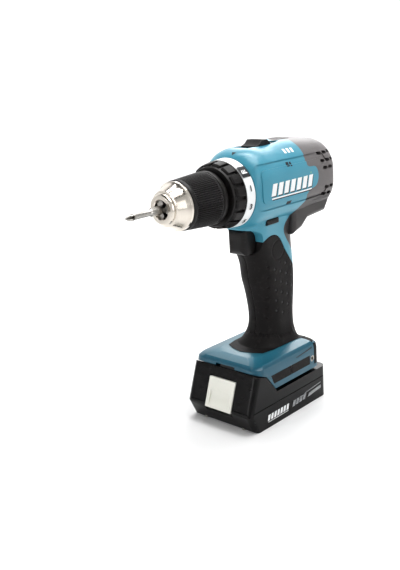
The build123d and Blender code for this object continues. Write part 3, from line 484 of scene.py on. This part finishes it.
SLEEVE_REAR, SLEEVE_FRONT = (corner[0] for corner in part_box("chuck_sleeve"))
SLEEVE_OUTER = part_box("chuck_sleeve")[1][1]
SLEEVE_BORE = 0.0192
RIB_COUNT = 78
RIB_DEPTH = 0.0009
NOTCH_DEPTH = 0.00045


def ribbed_sleeve():
    """Radius = a gentle taper - depth x (1 - |sin(ribs x angle / 2)|), less notches round the rim."""
    turns = RIB_COUNT * 8
    rim = SLEEVE_REAR + 0.0061
    tip = SLEEVE_OUTER - 0.0021
    xs = np.array(
        [SLEEVE_REAR, SLEEVE_REAR + 0.0003, SLEEVE_REAR + 0.001]
        + [rim - 0.0012, rim - 0.0008, rim - 0.0005, rim, rim + 0.0003, rim + 0.0008]
        + list(np.linspace(rim + 0.0016, SLEEVE_FRONT - 0.0042, 14))
        + [SLEEVE_FRONT - 0.0034, SLEEVE_FRONT - 0.003, SLEEVE_FRONT - 0.0012]
        + [SLEEVE_FRONT - 0.0004, SLEEVE_FRONT]
    )
    share = np.clip((xs - rim) / (SLEEVE_FRONT - rim), 0, 1)
    taper = SLEEVE_OUTER + (tip - SLEEVE_OUTER) * share**1.15
    taper = np.where(xs < SLEEVE_REAR + 0.0009, SLEEVE_OUTER - 0.0011 + (xs - SLEEVE_REAR), taper)
    groove = np.exp(-(((xs - rim + 0.0004) / 0.00035) ** 2))
    taper = taper - 0.0009 * groove
    taper = np.where(xs > SLEEVE_FRONT - 0.0011, taper - (xs - SLEEVE_FRONT + 0.0011) * 0.7, taper)
    starts = np.clip((xs - rim - 0.0006) / 0.0008, 0, 1)
    ends = np.clip((SLEEVE_FRONT - 0.0036 - xs) / 0.0006, 0, 1)
    ribbed = starts * ends
    angle = np.linspace(0, 2 * np.pi, turns, endpoint=False)
    valley = 1 - np.abs(np.sin(RIB_COUNT * angle / 2))
    notch = np.clip(np.cos(24 * angle) * 6 - 4.6, 0, 1)
    on_rim = np.exp(-(((xs - SLEEVE_REAR - 0.0034) / 0.0011) ** 4))
    radii = taper[:, None] - RIB_DEPTH * ribbed[:, None] * valley[None, :]
    radii = radii - NOTCH_DEPTH * on_rim[:, None] * notch[None, :]
    bore = np.full((2, turns), SLEEVE_BORE)
    points = turned_grid(np.append(xs, [SLEEVE_FRONT, SLEEVE_REAR]), np.vstack([radii, bore]), turns)
    faces = turned_faces(len(xs) + 2, turns, closed=True)
    piece = new_piece("chuck_sleeve_ribbed", points, faces, "black_plastic", "sleeve", "chuck_sleeve")
    split = piece.modifiers.new("crisp rims", "EDGE_SPLIT")
    split.split_angle = math.radians(55)
    return piece


ribbed_sleeve()


# ---- chuck body: polished nose ----


def smooth_cad(node, angle=34.0):
    """A CAD node shaded smooth over its curves and crisp at its edges."""
    piece = adopt(f"{node}_finished", merged_copy(node), SLOT_OF[node], body_of_node(node), node)
    split = piece.modifiers.new("crisp edges", "EDGE_SPLIT")
    split.split_angle = math.radians(angle)
    return piece


softened("chuck_body", 0.0003)
for name in ("torque_scale_band", "bit", "jaw_1", "jaw_2", "jaw_3", "reverse_lever", "battery_latch"):
    smooth_cad(name)


# ---- grip skin: fine-meshed copies with dimples and a thumb pad pressed into them ----

DIMPLE_PITCH = 0.0088
DIMPLE_RADIUS = 0.0015
DIMPLE_DEPTH = 0.0011
THUMB_RING_RADIUS = 0.0088
THUMB_RING_DEPTH = 0.0005
SKIN_VOXEL = 0.0006
DIMPLE_LOW = 0.086
DIMPLE_HIGH = AXIS - 0.068
DIMPLE_LEAN = math.radians(24)


def dimple_depth(points):
    """How far each point sinks: round dimples on slanted rows, and a thin ring round the thumb's place."""
    x, z = points[:, 0], points[:, 2]
    low, high, lean = DIMPLE_LOW, DIMPLE_HIGH, DIMPLE_LEAN
    along = x * math.cos(lean) + (z - low) * math.sin(lean)
    over = -x * math.sin(lean) + (z - low) * math.cos(lean)
    row = np.round(over / DIMPLE_PITCH)
    shifted = along - DIMPLE_PITCH * 0.5 * (row % 2)
    off_a = shifted - DIMPLE_PITCH * np.round(shifted / DIMPLE_PITCH)
    off_b = over - DIMPLE_PITCH * row
    distance = np.hypot(off_a, off_b)
    inside = (z > low) & (z < high) & (x > -0.041) & (x < 0.004)
    dent = DIMPLE_DEPTH * np.clip(1 - (distance / DIMPLE_RADIUS) ** 2, 0, 1) * inside
    ring = np.hypot(x + 0.011, z - AXIS + 0.0565)
    edge = THUMB_RING_DEPTH * np.exp(-(((ring - THUMB_RING_RADIUS) / 0.0006) ** 2))
    return dent + edge


def dimpled_skin(side_name, side):
    node = f"grip_skin_{side_name}"
    mesh = merged_copy(node)
    piece = adopt(f"{node}_dimpled", mesh, "black_rubber", "body", node)
    remesh = piece.modifiers.new("fine mesh", "REMESH")
    remesh.mode = "VOXEL"
    remesh.voxel_size = SKIN_VOXEL
    remesh.use_smooth_shade = True
    graph = bpy.context.evaluated_depsgraph_get()
    fine = bpy.data.meshes.new_from_object(piece.evaluated_get(graph))
    piece.modifiers.clear()
    piece.data = fine
    points = coordinates(fine)
    normals = np.empty(len(fine.vertices) * 3)
    fine.vertices.foreach_get("normal", normals)
    normals = normals.reshape(-1, 3)
    outward = (normals[:, 1] * side > 0.25) & (np.abs(points[:, 1]) > 0.0100)
    points = points - normals * (dimple_depth(points) * outward)[:, None]
    fine.vertices.foreach_set("co", points.ravel())
    fine.polygons.foreach_set("use_smooth", np.ones(len(fine.polygons), dtype=bool))
    fine.update()
    smooth = piece.modifiers.new("soft surface", "SMOOTH")
    smooth.factor, smooth.iterations = 0.5, 2
    return piece


dimpled_skin("left", 1)
dimpled_skin("right", -1)


# ---- printed and inset details, laid on the surfaces they belong to ----


def surface_of(nodes):
    """One search tree over the CAD meshes of several nodes."""
    points, faces = [], []
    for node in nodes:
        mesh = NODES[node].data
        start = len(points)
        points += [v.co.copy() for v in mesh.vertices]
        faces += [[start + v for v in p.vertices] for p in mesh.polygons]
    return BVHTree.FromPolygons(points, faces)


def on_side(nodes, side, lift):
    """Places (x, z) in millimetres on the left or right flank of some nodes, lifted off it a little."""
    tree = surface_of(nodes)

    def place(x, z):
        hit = tree.ray_cast(Vector((x * MM, side * 0.08, z * MM)), Vector((0, -side, 0)))[0]
        return (hit.x, hit.y + side * lift, hit.z) if hit and hit.y * side > 0.012 else None

    return place


def on_top(nodes, lift):
    """Places (x, y) in millimetres on the upper surface of some nodes."""
    tree = surface_of(nodes)

    def place(x, y):
        hit = tree.ray_cast(Vector((x * MM, y * MM, 0.3)), Vector((0, 0, -1)))[0]
        return (hit.x, hit.y, hit.z + lift)

    return place


def on_foot(nodes, lift):
    """Places (x, y) in millimetres on the foot's upper surface, looking down from just above it."""
    tree = surface_of(nodes)

    def place(x, y):
        hit = tree.ray_cast(Vector((x * MM, y * MM, FOOT_TOP + 0.012)), Vector((0, 0, -1)))[0]
        return (x * MM, y * MM, (hit.z if hit and hit.z > FOOT_TOP - 0.02 else FOOT_TOP - 0.003) + lift)

    return place


def round_axis(radius):
    """Places (x, arc length) in millimetres on a drum about the spindle axis."""

    def place(x, arc):
        angle = arc * MM / radius
        return (x * MM, radius * math.cos(angle), AXIS + radius * math.sin(angle))

    return place


def decal(name, outlines, place, material, body, step=1.5):
    """Flat outlines cut into small triangles and laid on a surface; those that run off it are left out."""
    shape = bmesh.new()
    for outline in outlines:
        if not all(place(a, b) for a, b in outline):
            continue
        corners = [shape.verts.new((a, b, 0)) for a, b in outline]
        shape.faces.new(corners)
    for _ in range(6):
        long = [e for e in shape.edges if e.calc_length() > step]
        if not long:
            break
        bmesh.ops.triangulate(shape, faces=shape.faces)
        long = [e for e in shape.edges if e.calc_length() > step]
        bmesh.ops.subdivide_edges(shape, edges=long, cuts=1)
    bmesh.ops.triangulate(shape, faces=shape.faces)
    for vertex in shape.verts:
        x, y, z = place(vertex.co.x, vertex.co.y)
        vertex.co = (x, max(cad_box[0][1], min(cad_box[1][1], y)), z)
    mesh = bpy.data.meshes.new(name)
    shape.to_mesh(mesh)
    shape.free()
    return adopt(name, mesh, material, body)


def bar(x, z, long, tall, lean=0.0):
    """A slanted bar from its lower front corner; forward is towards positive x."""
    return [(x, z), (x - long, z), (x - long - lean, z + tall), (x - lean, z + tall)]


def disc(x, z, radius, count=20):
    angles = [2 * math.pi * n / count for n in range(count)]
    return [(x + radius * math.cos(a), z + radius * math.sin(a)) for a in angles]


def moved(outlines, dx, dz):
    return [[(a + dx, b + dz) for a, b in outline] for outline in outlines]


PRINT_LIFT = 0.00010
UNDER_LIFT = 0.00004  # the badge's shadow
OVER_LIFT = 0.00012  # the badge itself
# the dimples' dark floors are painted shade in their hollows
FLOOR_SINK = 0.0002  # floors of the dimples, below the skin
SKIRT_LIFT = 0.00035


def badge(x, z, scale):
    """A made-up emblem: seven equal slanted bars over a thin rule."""
    tilted = 2.6 * scale
    shapes = [bar(x - 8.0 * scale * n, z, 5.6 * scale, 9.6 * scale, tilted) for n in range(7)]
    shapes.append(bar(x - 0.4 * scale, z - 2.6 * scale, 53.0 * scale, 1.1 * scale, 0.4))
    return shapes


def dimple_shade_floors():
    """Dark discs of painted shade for the floors of the grip's dimples, at the same slanted rows, as (x, z) discs
    in millimetres.
    """
    discs = []
    for row in range(-3, 12):
        for column in range(-12, 12):
            along = DIMPLE_PITCH * (column + 0.5 * (row % 2))
            over = DIMPLE_PITCH * row
            x = along * math.cos(DIMPLE_LEAN) - over * math.sin(DIMPLE_LEAN)
            z = DIMPLE_LOW + along * math.sin(DIMPLE_LEAN) + over * math.cos(DIMPLE_LEAN)
            if DIMPLE_LOW + 0.002 < z < DIMPLE_HIGH - 0.002 and -0.037 < x < 0.001:
                discs.append(disc(x / MM, z / MM, 0.95, 12))
    return discs


bright = moulded("white print", rgb(238, 240, 240), rgb(230, 232, 232), 0.4, 2600.0, 0.00002)
# dark print, also used as painted shade in the dimple floors and the slots
dark = moulded("dark print", rgb(34, 36, 40), rgb(28, 30, 33), 0.5, 2600.0, 0.00002)
grey_print = moulded("grey print", rgb(150, 152, 154), rgb(140, 142, 144), 0.45, 2600.0, 0.00002)
green_print = moulded("green print", rgb(120, 168, 150), rgb(108, 156, 140), 0.5, 2600.0, 0.00002)

for side, half in ((1, "left"), (-1, "right")):
    in_grip = on_side((f"grip_skin_{half}",), side, -FLOOR_SINK)
    # dark discs sunk into the dimples: painted shade in their hollows
    decal(f"dimple_shade_floors_{half}", dimple_shade_floors(), in_grip, dark.name, "body")
    nodes = (f"housing_{half}", "rear_cover", "foot_strips", f"grip_skin_{half}")
    flank = on_side(nodes, side, PRINT_LIFT)
    pack_flank = on_side(("battery_case_lower", "battery_case_upper"), side, PRINT_LIFT)
    emblem = badge(14.5, 201.5, 1.06)
    shadow = moved(emblem, -0.9, -0.9)
    decal(f"badge_shadow_{half}", shadow, on_side(nodes, side, UNDER_LIFT), dark.name, "body")
    decal(f"badge_{half}", emblem, on_side(nodes, side, OVER_LIFT), bright.name, "body")
    # dark slots: painted shade standing in for the shaded openings of slots in the panel
    slots = [bar(-10.6, 222.8, 3.4, 3.6, 0.3), bar(-15.0, 222.6, 2.2, 3.6, 0.3)]
    slots.append(bar(-7.6, 190.8, 6.4, 2.6, 0.8))
    decal(f"panel_slots_{half}", slots, flank, dark.name, "body")
    decal(f"dimple_{half}", [disc(-41.8, 213.5, 1.1)], flank, green_print.name, "body")
    marks = [bar(-16.0 - 4.4 * n, 233.2, 2.6, 3.4, 0.6) for n in range(3)]
    decal(f"series_mark_{half}", marks, flank, bright.name, "body")
    # a dark slot on the foot: painted shade in place of the slot's shaded opening
    slot = [[(-6.5, 51.2), (-30.5, 53.4), (-30.2, 54.6), (-6.0, 52.2)]]
    decal(f"foot_slot_{half}", slot, flank, dark.name, "body")
    joint = [bar(1.6, 38.6, 0.5, 9.2, -0.3)]
    decal(f"strip_joint_{half}", joint, flank, grey_print.name, "body")
    low = badge(38.0, 6.8, 0.56)
    decal(f"pack_mark_{half}", low, pack_flank, bright.name, "battery")
    swoosh = [bar(2.0 - 5.2 * n, 6.6 + 0.25 * n, 3.9, 5.4, 2.2) for n in range(4)]
    swoosh.append([(3.4, 5.8), (-19.0, 13.6), (-43.0, 15.6), (-43.0, 14.9), (-19.0, 12.8)])
    swoosh.append([(-21.5, 7.6), (-43.0, 9.4), (-43.0, 12.6), (-24.5, 10.8)])
    decal(f"pack_series_mark_{half}", swoosh, pack_flank, grey_print.name, "battery")

arrow = [[(29.0, 4.0), (25.6, 1.6), (25.6, 6.4)]]
decal("scale_pointer", arrow, on_top(("housing_left", "housing_right"), PRINT_LIFT), dark.name, "body", 0.8)
chevron = [[(-19.5, -3.0), (-23.5, -3.0), (-25.0, 0.0), (-23.5, 3.0), (-19.5, 3.0), (-21.0, 0.0)]]
lever_top = on_top(("speed_lever", "housing_left", "housing_right"), PRINT_LIFT)
decal("speed_arrow", chevron, lever_top, green_print.name, body_of_node("speed_lever"), 1.0)

# the grip's skirt, spread over the foot's top

skirt = [(27.5, 0), (24.5, 11), (19.5, 20.0), (8.0, 22.4), (-20.0, 23.4), (-40.5, 24.0)]
skirt += [(a, -b) for a, b in reversed(skirt[1:])]
foot_top = ("housing_left", "housing_right", "grip_skin_left", "grip_skin_right")
decal("grip_skirt", [skirt], on_foot(foot_top, SKIRT_LIFT), "black_rubber", "body", 2.0)

# the scale band: numbers for the clutch, and a dark patch for drilling

BAND_LOW, BAND_HIGH = (corner[0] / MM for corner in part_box("torque_scale_band"))
BAND_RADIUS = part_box("torque_scale_band")[1][1]
BAND_MIDDLE = (BAND_LOW + BAND_HIGH) / 2
MARK_TURN = math.radians(30)
FIRST_MARK = math.radians(42)
COLLAR = body_of_node("torque_scale_band")


def numeral(text, height):
    """The outline triangles of a number, centred, in millimetres."""
    curve = bpy.data.curves.new("numeral", "FONT")
    curve.body, curve.size = text, height
    curve.align_x = curve.align_y = "CENTER"
    curve.offset = 0.28
    lettering = bpy.data.objects.new("numeral", curve)
    mesh = bpy.data.meshes.new_from_object(lettering)
    points = coordinates(mesh)
    triangles = [[tuple(points[v][:2]) for v in polygon.vertices] for polygon in mesh.polygons]
    bpy.data.objects.remove(lettering)
    bpy.data.curves.remove(curve)
    bpy.data.meshes.remove(mesh)
    return triangles


drum = round_axis(BAND_RADIUS + 0.00008)
numbers = []
for count in range(10):
    arc = (FIRST_MARK - MARK_TURN * (count + 1)) * BAND_RADIUS / MM
    for outline in numeral(str(2 * count + 1), 6.4):
        numbers.append([(BAND_MIDDLE - a, arc + b) for a, b in outline])
decal("clutch_numbers", numbers, drum, dark.name, COLLAR, 1.2)
centre = FIRST_MARK * BAND_RADIUS / MM
low, high = BAND_LOW + 0.3, BAND_HIGH - 0.3
half = 5.4  # of the patch, along the band
patch = [(low, centre - half), (high, centre - half), (high, centre + half), (low, centre + half)]
decal("drill_patch", [patch], drum, dark.name, COLLAR, 1.2)
flutes = [bar(BAND_HIGH - 1.6, centre - 2.0, BAND_HIGH - BAND_LOW - 3.4, 1.2, 0.0)]
flutes += [bar(BAND_HIGH - 1.4 - 1.9 * n, centre - 0.9, 1.1, 2.6, 1.1) for n in range(3)]
decal("drill_symbol", flutes, round_axis(BAND_RADIUS + 0.00016), bright.name, COLLAR, 1.2)

# ---- the studio ----

VIEW_AZIMUTH = math.radians(133.98)
VIEW_HEIGHT = math.radians(16.38)
VIEW_ROLL = math.radians(-3.82)
VIEW_PLACE = (0.5249, 0.43596, 0.31964)
LENS = 49.67


def place_camera():
    """A camera on the tool's front left, set by azimuth and height, then rolled about its line of sight."""
    back = Vector(
        (
            math.sin(VIEW_AZIMUTH) * math.cos(VIEW_HEIGHT),
            -math.cos(VIEW_AZIMUTH) * math.cos(VIEW_HEIGHT),
            math.sin(VIEW_HEIGHT),
        )
    )
    level = Vector((math.cos(VIEW_AZIMUTH), math.sin(VIEW_AZIMUTH), 0.0))
    upright = back.cross(level)
    right = math.cos(VIEW_ROLL) * level + math.sin(VIEW_ROLL) * upright
    up = -math.sin(VIEW_ROLL) * level + math.cos(VIEW_ROLL) * upright
    data = bpy.data.cameras.new("studio camera")
    data.sensor_fit = "AUTO"
    data.sensor_width = 36.0
    data.lens = LENS
    camera = bpy.data.objects.new("studio camera", data)
    camera.matrix_world = Matrix((right, up, back)).transposed().to_4x4()
    camera.location = VIEW_PLACE
    bpy.context.scene.collection.objects.link(camera)
    bpy.context.scene.camera = camera


def soft_light(name, place, aim, size, power):
    data = bpy.data.lights.new(name, "AREA")
    data.shape = "RECTANGLE"
    data.size, data.size_y = size
    data.energy = power
    lamp = bpy.data.objects.new(name, data)
    lamp.location = place
    lamp.rotation_euler = (Vector(aim) - Vector(place)).to_track_quat("-Z", "Y").to_euler()
    bpy.context.scene.collection.objects.link(lamp)


def studio():
    """A pale floor inside a pale round backdrop, and five large soft lights."""
    r = Recipe("pale floor")
    drift = r.noise(3.0, 2.0)
    r.finish(base_color=r.blend(drift, (0.92, 0.92, 0.92, 1), (0.88, 0.88, 0.88, 1)), roughness=0.9)
    count, reach, rise, top = 96, 1.25, 0.35, 2.2
    bends = np.linspace(0.1, math.pi / 2, 12)
    curve = [(0.0, 0.0), (reach, 0.0)]
    curve += [(reach + rise * math.sin(a), rise - rise * math.cos(a)) for a in bends]
    curve.append((reach + rise, top))
    points = [(0.0, 0.0, 0.0)]
    faces = []
    for ring, (out, up) in enumerate(curve[1:]):
        for n in range(count + 1):
            angle = 2 * math.pi * n / count
            points.append((out * math.cos(angle), out * math.sin(angle), up))
        if ring:
            base = 1 + (ring - 1) * (count + 1)
            after = base + count + 1
            faces += [(base + n, base + n + 1, after + n + 1, after + n) for n in range(count)]
    mesh = bpy.data.meshes.new("backdrop")
    mesh.from_pydata(points, [], faces)
    mesh.materials.append(r.material)
    mesh.polygons.foreach_set("use_smooth", np.ones(len(mesh.polygons), dtype=bool))
    backdrop = bpy.data.objects.new("backdrop", mesh)
    flat = bpy.data.meshes.new("floor")
    far = 1.3
    flat.from_pydata([(-far, -far, 0), (far, -far, 0), (far, far, 0), (-far, far, 0)], [], [(0, 1, 2, 3)])
    flat.materials.append(r.material)
    floor = bpy.data.objects.new("floor", flat)
    for thing in (backdrop, floor):
        bpy.context.scene.collection.objects.link(thing)
    world = bpy.data.worlds.new("white room")
    world.use_nodes = True
    background = world.node_tree.nodes["Background"]
    background.inputs["Color"].default_value = (1.0, 1.0, 1.0, 1)
    background.inputs["Strength"].default_value = 0.10
    bpy.context.scene.world = world
    aim = (0.0, 0.0, 0.15)
    soft_light("overhead", (-0.15, 0.15, 0.95), aim, (0.7, 0.55), 5.6)
    soft_light("left side", (0.0, 1.05, 0.45), aim, (0.35, 0.7), 1.4)
    soft_light("front", (1.1, -0.35, 0.45), aim, (0.35, 0.8), 2.4)
    soft_light("behind", (-0.9, -0.5, 0.7), aim, (0.6, 0.5), 3.0)
    soft_light("backdrop wash", (-0.35, -0.35, 1.6), (-1.2, -1.1, 0.5), (1.0, 0.6), 15.0)
    bpy.context.scene.view_settings.view_transform = "Standard"
    bpy.context.scene.view_settings.look = "Medium High Contrast"


place_camera()
studio()
